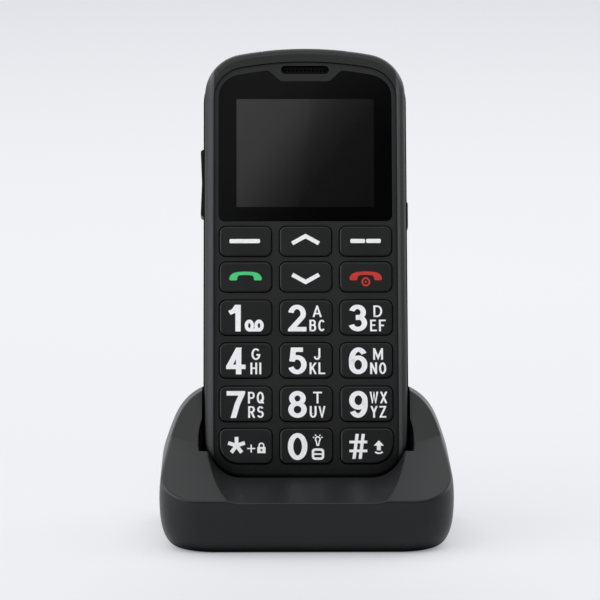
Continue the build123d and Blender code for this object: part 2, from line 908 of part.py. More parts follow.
def relief_cut():
    """Wider space beside the phone's front edge, curving back in to the pocket at its upper end."""
    half = phone_width / 2 + rear_overhang + relief
    high = relief_low + relief_curve
    shape = Pos(0, (high - relief) / 2) * Rectangle(2 * half, high + relief)
    shape = fillet(shape.vertices().sort_by(Axis.Y)[:2], bottom_corner + rear_overhang + relief)
    shape = fillet(shape.vertices().sort_by(Axis.Y)[-2:], relief_curve)
    return stand(slab(shape, -relief_front, relief_depth))


def scoop(grow=0):
    """Sloping channel from the pocket out through the front wall."""
    turn = radians(ramp_angle)
    end_y, end_z = lean_point(-relief_front, ramp_step)
    plane = Plane(origin=(0, end_y, end_z), x_dir=(1, 0, 0), z_dir=(0, -cos(turn), -sin(turn)))
    high = cradle_height
    shape = Pos(0, (high - grow) / 2) * Rectangle(2 * (ramp_half + grow), high + grow)
    shape = fillet(shape.vertices().sort_by(Axis.Y)[:2], ramp_corner + grow)
    forward = extrude(plane * shape, cradle_front)
    return forward + extrude(plane * shape, -phone_depth)


def sloping_faces(piece, angle):
    """Flat faces that rise towards the back at an angle."""
    normal = Vector(0, -sin(radians(angle)), cos(radians(angle)))
    flat = [f for f in piece.faces() if f.geom_type == GeomType.PLANE]
    return [f for f in flat if f.normal_at(f.center()).get_angle(normal) < 0.1]


def foot_screw_points():
    """Places of the four base screws."""
    return [(side * foot_screw_x, y) for side in (-1, 1) for y in (foot_screw_front, foot_screw_back)]


plate_low = cradle_foot + plate_gap
plate_high = plate_low + plate_thick
mat_height = plate_low + mat_recess
board_top = cradle_board_z + cradle_board_size[2]
socket_middle = board_top + usb_size[1] / 2
rear_face = cradle_back - mat_gap * 3


def base_outline(inset):
    """Outline of the cradle's underside, shrunk by an inset."""
    height, width, front, back = section_shares[0]
    half = cradle_half * width - inset
    near, far = inset - cradle_front * front, cradle_back * back - inset
    return Pos(0, (near + far) / 2) * RectangleRounded(2 * half, far - near, cradle_corner - inset)


def pin_hole(x, radius, low, high):
    """Round bar along the phone's length at a charging pad, in place."""
    return stand(rod(radius, (x, pad_y, low), (x, pad_y, high)))


def make_cradle_shell():
    """Cradle shell: soft outer form, ledge and ears, pocket, scoop, hollow underside and bosses."""
    solid = cradle_loft() & (ledge_wedge() + ear_cone())
    bend = [e for e in solid.edges() if e.geom_type == GeomType.ELLIPSE]
    solid = fillet(bend, bend_round)
    ledge = sloping_faces(solid, ledge_angle)[0]
    # The ledge's longest edge is the bend; the others form the rim, which runs on around the ears
    solid = fillet(ledge.edges().sort_by(SortBy.LENGTH)[:-1], rim_round)
    solid -= pocket()
    solid -= relief_cut()
    solid -= scoop()
    inner = phone_width / 2 + rear_overhang + relief + crease_round
    creases = [
        e for face in sloping_faces(solid, ledge_angle) for e in face.edges()
        if abs(e.center().X) < inner and e.center().Y > ear_y - cradle_front / 2
    ]
    mouth = sloping_faces(solid, ramp_angle)[0].edges().sort_by(Axis.Y)[0]
    solid = fillet([*creases, mouth], crease_round)
    cavity = cradle_loft(cradle_wall) & ledge_wedge(cradle_wall)
    cavity &= block((-cradle_half, -cradle_front, 0), (cradle_half, cradle_back, cavity_top))
    cavity = cavity - pocket(cradle_wall) - scoop(cradle_wall)
    shell = solid - cavity
    pilot = foot_screw_shank / 2 + mat_gap / 4
    pilot_end = plate_low + foot_screw_length + plate_thick
    for x, y in foot_screw_points():
        shell += rod(foot_boss / 2, (x, y, plate_high), (x, y, cavity_top)) & solid
        shell -= rod(pilot, (x, y, 0), (x, y, pilot_end))
    shell -= extrude(base_outline(plate_inset - plate_gap), plate_high)
    opening_half = usb_size[0] / 2 + usb_gap
    deep = usb_size[1] / 2 + usb_gap
    shell -= block(
        (-opening_half, cradle_board_y, socket_middle - deep),
        (opening_half, cradle_back + overrun, socket_middle + deep),
    )
    hood_width, hood_height = cradle_usb_hood
    hood = Plane(origin=(0, cradle_back + overrun, socket_middle), x_dir=(1, 0, 0), z_dir=(0, -1, 0)) * (
        RectangleRounded(hood_width, hood_height, hood_height / 4)
    )
    shell -= extrude(hood, overrun + mat_gap * 3 + cradle_usb_recess)
    hole_low = -pocket_clearance - cradle_wall - overrun / 5
    for side in (-1, 1):
        shell -= pin_hole(side * pad_x, pin_width / 2 + pin_gap, hole_low, 0)
    return shell


def make_cradle_base_plate():
    """Base plate with a shallow bed for the mat, counterbored screw holes and board posts."""
    plate = Pos(0, 0, plate_low) * extrude(base_outline(plate_inset), plate_thick)
    plate -= Pos(0, 0, plate_low) * extrude(
        RectangleRounded(mat_width + plate_gap, mat_depth + plate_gap, mat_corner), mat_recess
    )
    for x, y in foot_screw_points():
        plate -= rod(foot_screw_shank / 2 + mat_gap, (x, y, 0), (x, y, plate_high + overrun))
        plate -= rod(foot_screw_head / 2 + mat_gap, (x, y, 0), (x, y, plate_low + plate_thick / 2))
    width, depth, thick = cradle_board_size
    for side in (-1, 1):
        for end in (-1, 1):
            x = side * (width / 2 - foot_screw_shank)
            y = cradle_board_y + end * (depth / 2 - foot_screw_shank)
            plate += rod(foot_screw_shank, (x, y, plate_high), (x, y, cradle_board_z))
    return plate


def make_cradle_rubber_mat():
    """Anti-slip mat under the cradle."""
    return extrude(RectangleRounded(mat_width, mat_depth, mat_corner), mat_height)


def make_cradle_screws():
    """Four screws that hold the base plate."""
    group = []
    head = plate_thick / 2 - mat_gap
    for x, y in foot_screw_points():
        one = screw(foot_screw_shank / 2, foot_screw_head / 2, head, foot_screw_length, screw_slot)
        group.append(Pos(x, y, plate_low + mat_gap) * one)
    return Compound(group)


def make_cradle_circuit_board():
    """Charging board behind the pocket."""
    width, depth, thick = cradle_board_size
    board = Pos(0, cradle_board_y, cradle_board_z + thick / 2) * Box(width, depth, thick)
    chip = block(
        (width / 4, cradle_board_y - depth / 4, board_top),
        (width * 3 / 8, cradle_board_y + depth / 4, board_top + thick),
    )
    return board + chip


def make_cradle_usb_socket():
    """Charging socket on the board, mouth to the rear."""
    socket = Rot(90, 0, 0) * usb_socket()
    return Pos(0, rear_face - cradle_usb_recess, board_top) * socket


def make_cradle_contact_block():
    """Block under the pocket that guides the two spring contacts."""
    top = -pocket_clearance - cradle_wall
    chamber_top = top - pin_block_lid
    chamber_low = chamber_top - mat_gap - pin_collar_thick - pin_travel - pin_spring
    half, deep = pin_block_width / 2, pin_block_depth / 2
    body = stand(block((-half, pad_y - deep, chamber_low - pin_block_lid), (half, pad_y + deep, top)))
    for side in (-1, 1):
        body -= pin_hole(side * pad_x, pin_width / 2 + pin_gap, chamber_top, top)
        body -= pin_hole(side * pad_x, pin_collar / 2 + pin_gap, chamber_low, chamber_top)
    return body


def make_contact_pin(side):
    """Spring contact: round-nosed pin with a collar in the block's chamber."""
    collar_top = -pocket_clearance - cradle_wall - pin_block_lid - mat_gap
    x = side * pad_x
    pin = rod(pin_width / 2, (x, pad_y, collar_top - pin_collar_thick), (x, pad_y, -pin_rest_gap))
    pin = fillet(pin.faces().sort_by(Axis.Z)[-1].edges(), pin_gap)
    collar = rod(pin_collar / 2, (x, pad_y, collar_top - pin_collar_thick), (x, pad_y, collar_top))
    return stand(pin + collar)


phone_pieces = {
    "front_housing": make_front_housing,
    "rear_housing": make_rear_housing,
    "battery_cover": make_battery_cover,
    "display_window": make_display_window,
    "lcd_module": make_lcd_module,
    "main_circuit_board": make_main_circuit_board,
    "keypad_mat": make_keypad_mat,
    "dome_sheet": make_dome_sheet,
    "earpiece": make_earpiece,
    "earpiece_grille": make_earpiece_grille,
    "loudspeaker": make_loudspeaker,
    "vibration_motor": make_vibration_motor,
    "microphone": make_microphone,
    "top_insert": make_top_insert,
    "torch_lens": make_torch_lens,
    "torch_led": make_torch_led,
    "battery": make_battery,
    "battery_contacts": make_battery_contacts,
    "sim_holder": make_sim_holder,
    "housing_screws": make_housing_screws,
    "charging_contacts": make_charging_contacts,
    "phone_usb_socket": make_phone_usb_socket,
    "volume_rocker": make_volume_rocker,
    "side_switch": make_side_switch,
    "sos_button": make_sos_button,
}
cradle_pieces = {
    "cradle_shell": make_cradle_shell,
    "cradle_base_plate": make_cradle_base_plate,
    "cradle_rubber_mat": make_cradle_rubber_mat,
    "cradle_screws": make_cradle_screws,
    "cradle_circuit_board": make_cradle_circuit_board,
    "cradle_usb_socket": make_cradle_usb_socket,
    "cradle_contact_block": make_cradle_contact_block,
}

for name, make in phone_pieces.items():
    export_step(stand(make()), f"parts/{name}.step")
for name in key_centres():
    export_step(stand(make_key(name)), f"parts/{name}.step")
for name, make in cradle_pieces.items():
    export_step(make(), f"parts/{name}.step")
export_step(make_contact_pin(-1), "parts/contact_pin_left.step")
export_step(make_contact_pin(1), "parts/contact_pin_right.step")
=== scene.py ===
from math import cos, radians, sin

import bpy
from mathutils import Matrix, Vector


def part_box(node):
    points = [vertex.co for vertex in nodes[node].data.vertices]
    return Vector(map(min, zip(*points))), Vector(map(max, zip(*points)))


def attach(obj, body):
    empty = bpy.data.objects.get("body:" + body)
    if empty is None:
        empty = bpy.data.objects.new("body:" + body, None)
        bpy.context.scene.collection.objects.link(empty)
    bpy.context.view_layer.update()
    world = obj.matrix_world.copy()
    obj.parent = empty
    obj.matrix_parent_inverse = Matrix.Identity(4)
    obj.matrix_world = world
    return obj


# Looks of the big-button phone in its charging cradle. Lengths are in metres.
# Legends are drawn flat in x (across the keys) and y (up the keys), then laid on the leaning key tops.

mm = 0.001
LEAN = radians(22)
DOCK = Vector((0, -13.5 * mm, 15.6 * mm))  # lower end of the phone's front, standing in the cradle
KEY_TOP = 0.05 * mm  # how far the key tops stand in front of the phone's rail
INK = 0.025 * mm
DISPLAY_WIDTH, DISPLAY_HEIGHT = 35.6 * mm, 28.9 * mm
DISPLAY_LOW = 72.1 * mm  # lower edge of the display area, from the phone's lower end
RAIL_START, RAIL_WIDTH = 23.6 * mm, 2.6 * mm  # the side rail, outwards from the phone's middle

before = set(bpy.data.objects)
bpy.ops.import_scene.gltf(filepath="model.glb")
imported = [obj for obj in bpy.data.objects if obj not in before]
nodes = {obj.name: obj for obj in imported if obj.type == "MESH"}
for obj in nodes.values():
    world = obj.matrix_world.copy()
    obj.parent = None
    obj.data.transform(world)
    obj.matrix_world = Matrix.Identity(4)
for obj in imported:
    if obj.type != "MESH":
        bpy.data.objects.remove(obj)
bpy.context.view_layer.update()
scene = bpy.context.scene
scene.view_settings.view_transform = "Standard"

# Phone frame: x across, y from the front face to the back, z along the phone
phone_place = Matrix.Translation(DOCK) @ Matrix.Rotation(-LEAN, 4, "X")


# Camera

CAMERA_PLACE = (-12.35 * mm, -1240.84 * mm, 256.68 * mm)
CAMERA_TILT, CAMERA_TURN = radians(81), radians(-0.5)
LENS, FILM = 293.65, 36  # in millimetres, as on a real camera
SIGHT = 50  # in metres

camera_data = bpy.data.cameras.new("camera")
camera_data.lens = LENS
camera_data.sensor_width = FILM
camera_data.clip_end = SIGHT
camera = bpy.data.objects.new("camera", camera_data)
camera.location = CAMERA_PLACE
camera.rotation_euler = (CAMERA_TILT, 0, CAMERA_TURN)
scene.collection.objects.link(camera)
scene.camera = camera


# Shader helpers

MIX_A, MIX_B, MIX_OUT = 6, 7, 2  # the colour sockets of a Mix node


def feed(tree, node, inputs):
    """Fills a node's inputs, given as (socket, value or output to link) pairs."""
    for socket, value in inputs:
        if isinstance(value, bpy.types.NodeSocket):
            tree.links.new(value, node.inputs[socket])
        else:
            node.inputs[socket].default_value = value


def adder(tree):
    """Function that adds a node of some kind to a tree, with its settings and inputs."""

    def add(kind, inputs=(), **settings):
        node = tree.nodes.new(kind)
        for key, value in settings.items():
            setattr(node, key, value)
        feed(tree, node, inputs)
        return node

    return add


def new_material(name):
    """Material with a Principled shader; returns it with its shader, its tree and what adds nodes to it."""
    material = bpy.data.materials.new(name)
    material.use_nodes = True
    tree = material.node_tree
    return material, tree.nodes["Principled BSDF"], tree, adder(tree)


def ramp(add, source, stops):
    """Colour ramp through (position, grey or colour) stops."""
    node = add("ShaderNodeValToRGB", [("Fac", source)])
    marks = node.color_ramp.elements
    while len(marks) < len(stops):
        marks.new(0.5)
    for mark, (position, value) in zip(marks, stops):
        mark.position = position
        mark.color = (*value, 1) if isinstance(value, tuple) else (value, value, value, 1)
    return node.outputs["Color"]


def calc(add, operation, *values, clamp=False):
    """Result of one arithmetic step on numbers or sockets."""
    return add("ShaderNodeMath", enumerate(values), operation=operation, use_clamp=clamp).outputs[0]


def noise(add, place, scale, detail=2):
    """Noise over a surface."""
    return add("ShaderNodeTexNoise", [("Vector", place), ("Scale", scale), ("Detail", detail)]).outputs["Fac"]


def multiplied(add, first, second):
    """Product of two colours."""
    inputs = [(MIX_A, first), (MIX_B, second), ("Factor", 1)]
    return add("ShaderNodeMix", inputs, data_type="RGBA", blend_type="MULTIPLY").outputs[MIX_OUT]


def scaled(colour, share):
    """Colour made darker or lighter."""
    return tuple(c * share for c in colour)


# Materials

UNEVEN, UNEVEN_SCALE = 0.12, 55  # share and scale of a plastic's slow unevenness
BUMP = 0.35
# Reach of the painted shade in creases and seams, and the shares of open sky where it is darkest and where it
# ends
CREASE_SHADE_SPREAD = (4 * mm, 0.3, 0.8)
DOCK_SHADE_SPREAD = (25 * mm, 0.6, 0.96)  # for the phone's front, which stands deep in the cradle: painted shade over a longer reach
SHADE_COLOUR_KEPT, SHADE_LEVEL_KEPT = 0.1, 0.02  # shares of colour and gloss that the darkest painted shade keeps
STREAK = 0.4 * mm
INK_SCALE, WAVE_SCALE = 1800, 40


def moulded(name, colour, rough, grain=0.14 * mm, depth=0.012 * mm, level=0.3, shade_spread=CREASE_SHADE_SPREAD):
    """Moulded plastic: fine spark grain in bump and gloss, slow unevenness, and painted shade that darkens
    and dulls creases and seams.
    """
    material, shader, tree, add = new_material(name)
    reach, shut, clear = shade_spread
    place = add("ShaderNodeTexCoord").outputs["Object"]
    fine = noise(add, place, 1 / grain)
    slow = noise(add, place, UNEVEN_SCALE, 3)
    # Painted shade: colour and gloss darken where little open sky reaches, in creases, seams and gaps
    open_sky = add("ShaderNodeAmbientOcclusion", [("Distance", reach)], samples=6).outputs["AO"]
    uneven = ramp(add, slow, [(0.3, scaled(colour, 1 - UNEVEN)), (0.7, scaled(colour, 1 + UNEVEN))])
    painted_shade = ramp(add, open_sky, [(shut, SHADE_COLOUR_KEPT), (clear, 1)])
    both = calc(add, "MULTIPLY", calc(add, "ADD", fine, slow), 0.5)
    bump = add("ShaderNodeBump", [("Height", fine), ("Strength", BUMP), ("Distance", depth)])
    feed(tree, shader, [
        ("Base Color", multiplied(add, uneven, painted_shade)),
        ("Roughness", ramp(add, both, [(0.3, rough - 0.05), (0.7, rough + 0.05)])),
        ("Normal", bump.outputs[0]),
        # The plain level stands wherever the link after it isn't kept
        ("Specular IOR Level", level),
        ("Specular IOR Level", ramp(add, open_sky, [(shut, SHADE_LEVEL_KEPT * level), (clear, level)])),
    ])
    return material


def paint_rail_highlight(material, colour):
    """Painted highlight: a pale band along the inner part of the phone's side rails, and a duller outer part.
    """
    tree = material.node_tree
    add = adder(tree)
    shader = tree.nodes["Principled BSDF"]
    place = add("ShaderNodeTexCoord").outputs["Object"]
    across = calc(add, "ABSOLUTE", add("ShaderNodeSeparateXYZ", [(0, place)]).outputs["X"])
    share = add("ShaderNodeMapRange", [
        ("Value", across), ("From Min", RAIL_START), ("From Max", RAIL_START + RAIL_WIDTH),
    ]).outputs[0]
    # Painted highlight: pale across the inner part of the rail, fading towards its outer edge
    highlight_band = ramp(add, share, [(0.0, 0.0), (0.08, 1.0), (0.3, 1.0), (0.5, 0.45), (0.75, 0.1), (1.0, 0.0)])
    shade_mix = shader.inputs["Base Color"].links[0].from_node
    plain = shade_mix.inputs[MIX_A].links[0].from_socket
    highlighted = add("ShaderNodeMix", [("Factor", highlight_band), (MIX_A, plain), (MIX_B, (*colour, 1))], data_type="RGBA")
    feed(tree, shade_mix, [(MIX_A, highlighted.outputs[MIX_OUT])])
    level = shader.inputs["Specular IOR Level"].links[0].from_socket
    dull = ramp(add, share, [(0.3, 1.0), (0.65, 0.45)])
    feed(tree, shader, [("Specular IOR Level", calc(add, "MULTIPLY", level, dull))])


def metal(name, colour, rough):
    """Plated metal with faint drawn streaks."""
    material, shader, tree, add = new_material(name)
    place = add("ShaderNodeTexCoord").outputs["Object"]
    stretched = add("ShaderNodeMapping", [("Vector", place), ("Scale", (1, 1, 0.08))])
    streak = noise(add, stretched.outputs[0], 1 / STREAK, 3)
    bright = tuple(min(1, c) for c in scaled(colour, 1.08))
    feed(tree, shader, [
        ("Base Color", ramp(add, streak, [(0.3, scaled(colour, 0.88)), (0.7, bright)])),
        ("Roughness", ramp(add, streak, [(0.3, rough - 0.06), (0.7, rough + 0.06)])),
        ("Metallic", 1),
    ])
    return material


def printed(name, colour):
    """Printed ink with a faintly uneven layer."""
    material, shader, tree, add = new_material(name)
    patchy = noise(add, add("ShaderNodeTexCoord").outputs["Object"], INK_SCALE)
    feed(tree, shader, [
        ("Base Color", ramp(add, patchy, [(0.35, scaled(colour, 0.93)), (0.65, colour)])),
        ("Roughness", ramp(add, patchy, [(0.3, 0.45), (0.7, 0.6)])),
        ("Specular IOR Level", 0.3),
    ])
    return material


def polished(name, colour, rough, level=0.5):
    """Polished plastic with very faint unevenness of colour and gloss."""
    material, shader, tree, add = new_material(name)
    slow = noise(add, add("ShaderNodeTexCoord").outputs["Object"], WAVE_SCALE)
    feed(tree, shader, [
        ("Base Color", ramp(add, slow, [(0.3, colour), (0.7, scaled(colour, 1.3))])),
        ("Roughness", ramp(add, slow, [(0.3, rough), (0.7, rough + 0.03)])),
        ("Specular IOR Level", level),
    ])
    return material


def window_material():
    """Polished window: black border print, and the unlit display's soft grey showing through, both under a
    painted reflection that falls across them.
    """
    material, shader, tree, add = new_material("window_black")
    edge_soft, painted_sheen_soft = 0.15 * mm, 2.4 * mm
    painted_sheen_slope, painted_sheen_share = 0.16, 0.2
    rise_share, fall_share = 0.7, 1.2  # of the painted reflection's fall of grey, up and across the display
    place = add("ShaderNodeTexCoord").outputs["Object"]
    turned = add("ShaderNodeVectorRotate", [("Vector", place), ("Center", DOCK), ("Angle", LEAN)],
                 rotation_type="X_AXIS")
    axes = add("ShaderNodeSeparateXYZ", [("Vector", turned.outputs[0])])

    def math(operation, *values, clamp=False):
        return calc(add, operation, *values, clamp=clamp)

    across = axes.outputs["X"]
    along = math("SUBTRACT", axes.outputs["Z"], DOCK.z + DISPLAY_LOW + DISPLAY_HEIGHT / 2)
    # Distance outside the display area, below 0 inside it
    side = math("SUBTRACT", math("ABSOLUTE", across), DISPLAY_WIDTH / 2)
    end = math("SUBTRACT", math("ABSOLUTE", along), DISPLAY_HEIGHT / 2)
    outside = math("MAXIMUM", side, end)
    inside = math("SUBTRACT", 0.5, math("DIVIDE", outside, edge_soft), clamp=True)
    # The grey of the painted reflection falls from the upper left to the lower right, past a soft slanting
    # edge of painted sheen
    rise = math("MULTIPLY", along, rise_share / DISPLAY_HEIGHT)
    fall = math("SUBTRACT", rise, math("MULTIPLY", across, fall_share / DISPLAY_WIDTH))
    place_on = math("ADD", math("MULTIPLY", fall, 0.5), 0.5)
    display_grey_and_reflection = [(0.1, 0.006), (0.35, 0.0085), (0.5, 0.018), (0.6, 0.029), (0.7, 0.039), (0.95, 0.046)]
    border_black_and_reflection = [(0.17, 0.0002), (0.34, 0.0012), (0.5, 0.003), (0.68, 0.0055), (0.84, 0.007)]
    display, border = ramp(add, place_on, display_grey_and_reflection), ramp(add, place_on, border_black_and_reflection)
    slant = math("SUBTRACT", across, math("MULTIPLY", along, painted_sheen_slope))
    painted_sheen = math("SUBTRACT", 0.5, math("DIVIDE", slant, painted_sheen_soft), clamp=True)
    painted_sheen_scale = math("ADD", math("MULTIPLY", painted_sheen, painted_sheen_share), 1 - painted_sheen_share)
    both = add("ShaderNodeMix", [("Factor", inside), (MIX_A, border), (MIX_B, display)], data_type="RGBA")
    colour = add("ShaderNodeVectorMath", [(0, both.outputs[MIX_OUT]), ("Scale", painted_sheen_scale)], operation="SCALE")
    feed(tree, shader, [("Base Color", colour.outputs[0]), ("Roughness", 0.07), ("Specular IOR Level", 0.3)])
    return material


NEARLY_BLACK = (0.0088, 0.00915, 0.00968)

cradle_plastic = moulded("cradle_plastic", NEARLY_BLACK, 0.38, level=0.31)
front_plastic = moulded("front_plastic", (0.0092, 0.00957, 0.01012), 0.38, level=0.31, shade_spread=DOCK_SHADE_SPREAD)
# Painted highlight along the inner part of the phone's side rails
paint_rail_highlight(front_plastic, (0.06, 0.062, 0.0655))
rear_plastic = moulded("rear_plastic", NEARLY_BLACK, 0.45, grain=0.2 * mm, depth=0.02 * mm, level=0.33)
key_plastic = moulded("key_plastic", (0.0065, 0.00676, 0.00715), 0.38, grain=0.1 * mm, depth=0.006 * mm,
                      level=0.27)
side_plastic = moulded("side_plastic", (0.007, 0.00728, 0.0077), 0.42, level=0.28)
inner_plastic = moulded("inner_plastic", (0.02, 0.02, 0.021), 0.5)
# Earpiece grille, near black and dull so that the slot reads as a plain dark hollow: partly its own colour,
# partly painted shade
grille_plastic = moulded("grille_plastic", (0.001, 0.001, 0.001), 0.7, level=0.1)
mat_rubber = moulded("mat_rubber", (0.012, 0.012, 0.012), 0.75, grain=0.35 * mm, depth=0.03 * mm, level=0.2)
# Keypad mat, near black so that the gaps round the keys read as deep shade: partly its own colour, partly
# painted shade
key_rubber = moulded("key_rubber", (0.003, 0.00312, 0.0033), 0.7, level=0.1)
board_green = moulded("board_green", (0.01, 0.09, 0.035), 0.35, level=0.5)
battery_wrap = moulded("battery_wrap", (0.09, 0.1, 0.11), 0.4)
insert_plastic = polished("insert_plastic", (0.006, 0.006, 0.0065), 0.25, 0.4)
lens_clear = polished("lens_clear", (0.55, 0.58, 0.6), 0.08)
steel = metal("steel", (0.6, 0.6, 0.6), 0.3)
gold = metal("gold", (0.83, 0.6, 0.24), 0.28)
ink_white = printed("ink_white", (0.9, 0.91, 0.93))
ink_black = printed("ink_black", (0.006, 0.006, 0.006))
ink_green = printed("ink_green", (0.06, 0.6, 0.19))
ink_red = printed("ink_red", (0.56, 0.03, 0.02))
window_black = window_material()

# The keys, which aren't named here, take the key plastic
dress = {
    "cradle_shell": cradle_plastic, "cradle_base_plate": cradle_plastic, "cradle_rubber_mat": mat_rubber,
    "cradle_screws": steel, "cradle_circuit_board": board_green, "cradle_usb_socket": steel,
    "cradle_contact_block": inner_plastic, "front_housing": front_plastic, "rear_housing": rear_plastic,
    "battery_cover": rear_plastic, "display_window": window_black, "lcd_module": inner_plastic,
    "main_circuit_board": board_green, "keypad_mat": key_rubber, "dome_sheet": inner_plastic,
    "earpiece": inner_plastic, "earpiece_grille": grille_plastic, "loudspeaker": inner_plastic,
    "vibration_motor": steel, "microphone": steel, "top_insert": insert_plastic, "torch_lens": lens_clear,
    "torch_led": lens_clear, "battery": battery_wrap, "battery_contacts": gold, "sim_holder": steel,
    "housing_screws": steel, "charging_contacts": gold, "phone_usb_socket": steel,
    "volume_rocker": side_plastic, "side_switch": side_plastic, "sos_button": side_plastic,
    "contact_pin_left": gold, "contact_pin_right": gold,
}
for name, node in nodes.items():
    node.data.materials.clear()
    node.data.materials.append(dress.get(name, key_plastic))


# Legends: every glyph is made of strokes on a unit box, drawn to its own width and height

DIGIT_STROKE = 0.198  # as a share of the height
LETTER_STROKE, LETTER_GAP = 0.165, 0.17  # as shares of the height
FLAT = 0.84  # how much thinner level strokes are than upright ones


def arc(x, y, across, up, start, end, steps=26):
    """Points of an elliptical arc in the unit box, angles in degrees."""
    turns = [radians(start + (end - start) * i / steps) for i in range(steps + 1)]
    return [(x + across * cos(t), y + up * sin(t)) for t in turns]


bowl_high = arc(0.47, 0.755, 0.44, 0.245, 165, -90) + [(0.34, 0.51)]
bowl_low = [(0.34, 0.54)] + arc(0.49, 0.27, 0.51, 0.27, 90, -163)
six = [arc(0.5, 0.32, 0.5, 0.32, 0, 360), arc(0.53, 0.52, 0.53, 0.48, 38, 180) + [(0, 0.32)]]
glyphs = {
    "0": [arc(0.5, 0.5, 0.5, 0.5, 0, 360, 40)],
    "1": [[(1, 0), (1, 1)], [(-0.2, 0.74), (0.4, 0.82), (0.9, 1.05)]],
    "2": [arc(0.49, 0.7, 0.47, 0.3, 172, -28) + [(0.04, 0.0), (1, 0)]],
    "3": [bowl_high, bowl_low],
    "4": [[(1, 0.235), (0, 0.235), (0.7, 1.06)], [(0.7, 0), (0.7, 1)]],
    "5": [[(0.93, 1), (0.2, 1), (0.1, 0.47)], arc(0.49, 0.33, 0.51, 0.33, 148, -160)],
    "6": six,
    "7": [[(0, 1), (1, 1), (0.62, 0.52), (0.36, 0)]],
    "8": [arc(0.5, 0.765, 0.43, 0.235, 0, 360), arc(0.5, 0.268, 0.5, 0.268, 0, 360)],
    "9": [[(1 - x, 1 - y) for x, y in stroke] for stroke in six],
    "A": [[(0, 0), (0.5, 1.04), (1, 0)], [(0.17, 0.27), (0.83, 0.27)]],
    "B": [
        [(0, 0), (0, 1)], [(0, 1)] + arc(0.55, 0.77, 0.38, 0.23, 90, -90) + [(0, 0.54)],
        [(0, 0.54)] + arc(0.6, 0.27, 0.4, 0.27, 90, -90) + [(0, 0)],
    ],
    "C": [arc(0.53, 0.5, 0.53, 0.5, 42, 318)],
    "D": [[(0, 0), (0, 1)], [(0, 1)] + arc(0.42, 0.5, 0.58, 0.5, 90, -90) + [(0, 0)]],
    "E": [[(0.98, 1), (0, 1), (0, 0), (1, 0)], [(0, 0.53), (0.88, 0.53)]],
    "F": [[(1, 1), (0, 1), (0, 0)], [(0, 0.5), (0.85, 0.5)]],
    "G": [arc(0.51, 0.5, 0.51, 0.5, 42, 338) + [(1, 0.43), (0.58, 0.43)]],
    "H": [[(0, 0), (0, 1)], [(1, 0), (1, 1)], [(0, 0.52), (1, 0.52)]],
    "I": [[(0.5, 0), (0.5, 1)]],
    "J": [[(0.9, 1), (0.9, 0.3)] + arc(0.45, 0.3, 0.45, 0.3, 0, -175)],
    "K": [[(0, 0), (0, 1)], [(1, 1.04), (0.03, 0.36)], [(0.36, 0.6), (1.04, -0.04)]],
    "L": [[(0, 1), (0, 0), (1, 0)]],
    "M": [[(0, 0), (0, 1)], [(1, 0), (1, 1)], [(0, 1.04), (0.5, 0.12), (1, 1.04)]],
    "N": [[(0, 0), (0, 1)], [(1, 0), (1, 1)], [(0, 1.02), (1, -0.02)]],
    "O": [arc(0.5, 0.5, 0.5, 0.5, 0, 360)],
    "P": [[(0, 0), (0, 1)], [(0, 1)] + arc(0.56, 0.73, 0.44, 0.27, 90, -90) + [(0, 0.46)]],
    "Q": [arc(0.5, 0.5, 0.5, 0.5, 0, 360), [(0.58, 0.3), (1.04, -0.04)]],
    "R": [
        [(0, 0), (0, 1)], [(0, 1)] + arc(0.56, 0.75, 0.42, 0.25, 90, -90) + [(0, 0.5)],
        [(0.5, 0.5), (1.02, -0.04)],
    ],
    "S": [arc(0.5, 0.755, 0.45, 0.245, 22, 270), arc(0.5, 0.265, 0.5, 0.265, 90, -158)],
    "T": [[(0, 1), (1, 1)], [(0.5, 1), (0.5, 0)]],
    "U": [[(0, 1), (0, 0.35)] + arc(0.5, 0.35, 0.5, 0.35, 180, 360) + [(1, 1)]],
    "V": [[(0, 1.02), (0.5, -0.04), (1, 1.02)]],
    "W": [[(0, 1.02), (0.26, -0.04), (0.5, 1.0), (0.74, -0.04), (1, 1.02)]],
    "X": [[(0, 1.02), (1, -0.02)], [(1, 1.02), (0, -0.02)]],
    "Y": [[(0, 1.02), (0.5, 0.42), (1, 1.02)], [(0.5, 0.46), (0.5, 0)]],
    "Z": [[(0, 1), (1, 1), (0, 0), (1, 0)]],
    "#": [
        [(0.2, -0.04), (0.42, 1.04)], [(0.62, -0.04), (0.84, 1.04)],
        [(0, 0.7), (1, 0.7)], [(0, 0.3), (1, 0.3)],
    ],
    "+": [[(0, 0.5), (1, 0.5)], [(0.5, 0), (0.5, 1)]],
}
LETTER_WIDTH = {"I": 0.32, "J": 0.8, "M": 1.12, "W": 1.25, "O": 1.05, "Q": 1.05, "N": 1.02}  # others are 1


SHARPEST = 0.3  # limits how far a sharp corner's mitre reaches


def ribbon(points, half, flat=1):
    """Quads of a flat stroke with mitred joints along a line of points; level parts are thinned by flat."""
    points = [Vector((p[0], p[1] / flat)) for p in points]
    closed = (points[0] - points[-1]).length < half / 50
    if closed:
        points = points[:-1]
    count = len(points)
    left, right = [], []
    for index, point in enumerate(points):
        ways = []
        if index or closed:
            ways.append((point - points[index - 1]).normalized())
        if index + 1 < count or closed:
            ways.append((points[(index + 1) % count] - point).normalized())
        way = sum(ways, Vector((0, 0))).normalized()
        normal = Vector((-way.y, way.x))
        edge = Vector((-ways[0].y, ways[0].x))
        reach = half / max(SHARPEST, normal.dot(edge))
        left.append(point + normal * reach)
        right.append(point - normal * reach)
    for point in left + right:
        point.y *= flat
    pairs = range(count if closed else count - 1)
    return [(right[i], right[(i + 1) % count], left[(i + 1) % count], left[i]) for i in pairs]


